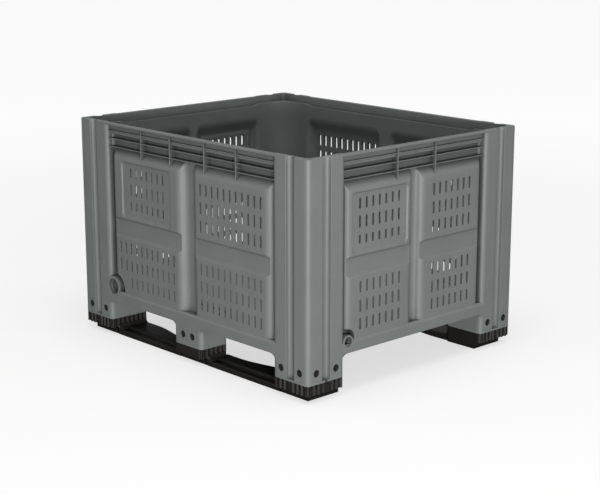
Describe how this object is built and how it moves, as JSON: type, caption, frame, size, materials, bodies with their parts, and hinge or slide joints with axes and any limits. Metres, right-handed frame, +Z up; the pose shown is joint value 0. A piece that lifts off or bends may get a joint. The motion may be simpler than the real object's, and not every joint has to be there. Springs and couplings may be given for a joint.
{
  "type": "plastic pallet box",
  "caption": "Slotted plastic bulk box on three-legged runners, open at the top, with fork openings on all four sides.",
  "frame": {"origin": "on the ground under the middle of the box", "axes": "+X along the long side, +Y along the short side, +Z up; the -Y wall is the picture's left wall"},
  "size_m": [1.2, 1, 0.785],
  "materials": {
    "box_plastic": "satin moulded grey",
    "runner_plastic": "matte moulded black"
  },
  "bodies": {
    "root": {"box_body": "box_plastic", "runner_front": "runner_plastic", "runner_rear": "runner_plastic"}
  },
  "joints": []
}
